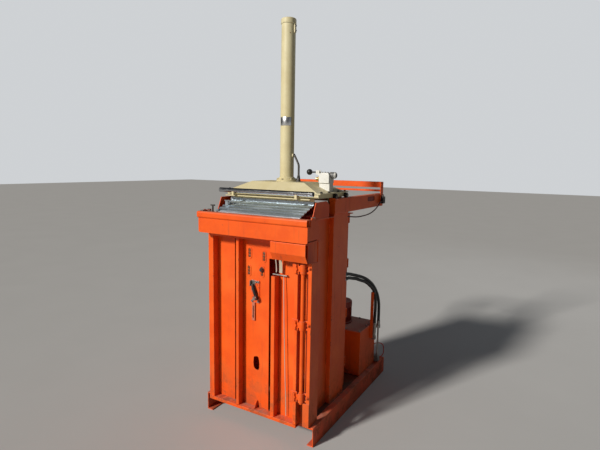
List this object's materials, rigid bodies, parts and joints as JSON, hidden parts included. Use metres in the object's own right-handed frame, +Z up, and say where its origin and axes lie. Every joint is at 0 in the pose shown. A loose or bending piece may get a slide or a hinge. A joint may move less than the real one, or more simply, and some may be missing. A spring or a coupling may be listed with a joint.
{
  "type": "vertical recycling baler",
  "caption": "Upright recycling baler with a ribbed front door, strap reels, a head that rolls back on two arms, a tall press cylinder and a floor power pack.",
  "frame": {"origin": "middle of the bounding box, on the floor", "axes": "+X to the machine's right seen from the door, +Y from the door to the power pack, +Z up along the cylinder"},
  "size_m": [0.76, 1.198, 2.378],
  "materials": {
    "orange_paint": "worn gloss paint",
    "maroon_paint": "satin paint",
    "cream_paint": "satin paint",
    "white_paint": "satin paint",
    "bare_steel": "rusty",
    "zinc_plate": "galvanised",
    "polished_chrome": "polished",
    "black_plastic": "matte",
    "white_plastic": "matte",
    "red_plastic": "matte",
    "black_rubber": "matte"
  },
  "bodies": {
    "frame": {"skid_left": "orange_paint", "skid_right": "orange_paint", "deck_plate": "orange_paint", "crossbars": "orange_paint", "wall_left": "orange_paint", "wall_right": "orange_paint", "wall_back": "orange_paint", "jamb_left": "orange_paint", "jamb_right": "orange_paint", "hinge_bar": "orange_paint", "frame_lugs": "orange_paint", "front_beam": "orange_paint", "infeed_lip": "orange_paint", "cheeks": "orange_paint", "post_left": "orange_paint", "post_right": "orange_paint", "arm_left": "orange_paint", "arm_right": "orange_paint", "rear_frame": "orange_paint", "limit_switch": "black_plastic", "tank": "orange_paint", "tank_lid": "orange_paint", "motor": "maroon_paint", "filler_cap": "black_plastic", "hose_stand": "orange_paint", "hose_fittings": "zinc_plate", "hose_pressure": "black_rubber", "hose_return": "black_rubber", "switch_cable": "black_rubber", "red_cable": "red_plastic"},
    "door": {"door_frame": "orange_paint", "door_panel_left": "orange_paint", "door_panel_mid": "orange_paint", "door_panel_right": "orange_paint", "door_leaves": "orange_paint", "strap_cover": "orange_paint", "reel_spindle": "bare_steel", "strap_guide": "zinc_plate", "strap_tail": "white_plastic", "latch_plate": "zinc_plate"},
    "latch": {"latch_lever": "black_plastic"},
    "reel_left": {"strap_reel_left": "black_plastic"},
    "reel_right": {"strap_reel_right": "black_plastic"},
    "head": {"head_frame": "cream_paint", "hood": "cream_paint", "apron": "zinc_plate", "pull_bar": "polished_chrome", "cylinder_tube": "cream_paint", "cylinder_cap": "cream_paint", "cylinder_flange": "cream_paint", "pressure_pipe": "bare_steel", "valve_block": "white_paint"},
    "ram": {"piston_rod": "polished_chrome", "platen": "maroon_paint"},
    "lever": {"valve_lever": "black_plastic"},
    "rollers_front": {"rollers_front": "black_plastic"},
    "rollers_rear": {"rollers_rear": "black_plastic"},
    "pin": {"lock_pin": "bare_steel"}
  },
  "joints": [
    {"name": "door_hinge", "type": "hinge", "parent": "frame", "child": "door", "pos_m": [0.305, -0.521, 0.6], "axis": [0, 0, 1], "range_deg": [0, 95]},
    {"name": "latch_turn", "type": "hinge", "parent": "door", "child": "latch", "pos_m": [-0.022, -0.491, 0.778], "axis": [0, 1, 0], "range_deg": [0, 70]},
    {"name": "reel_left_spin", "type": "hinge", "parent": "door", "child": "reel_left", "pos_m": [0.165, -0.525, 1.074], "axis": [1, 0, 0], "continuous": true},
    {"name": "reel_right_spin", "type": "hinge", "parent": "door", "child": "reel_right", "pos_m": [0.215, -0.525, 1.074], "axis": [1, 0, 0], "continuous": true},
    {"name": "head_slide", "type": "slide", "parent": "frame", "child": "head", "axis": [0, 1, 0], "range_m": [0, 0.54]},
    {"name": "platen_press", "type": "slide", "parent": "head", "child": "ram", "axis": [0, 0, -1], "range_m": [0, 0.6]},
    {"name": "valve_tilt", "type": "hinge", "parent": "head", "child": "lever", "pos_m": [0.214, -0.211, 1.5], "axis": [0, 1, 0], "range_deg": [-18, 18], "stiffness_Nm_per_rad": 2},
    {"name": "front_rollers_turn", "type": "hinge", "parent": "head", "child": "rollers_front", "pos_m": [0, -0.201, 1.365], "axis": [1, 0, 0], "range_deg": [-2063, 0]},
    {"name": "rear_rollers_turn", "type": "hinge", "parent": "head", "child": "rollers_rear", "pos_m": [0, -0.056, 1.365], "axis": [1, 0, 0], "range_deg": [-2063, 0]},
    {"name": "lock_pin_lift", "type": "slide", "parent": "frame", "child": "pin", "axis": [0, 0, 1], "range_m": [0, 0.06]}
  ],
  "couplings": [
    {"joint": "front_rollers_turn", "follows": "head_slide", "rad_per_m": -66.667},
    {"joint": "rear_rollers_turn", "follows": "head_slide", "rad_per_m": -66.667}
  ]
}
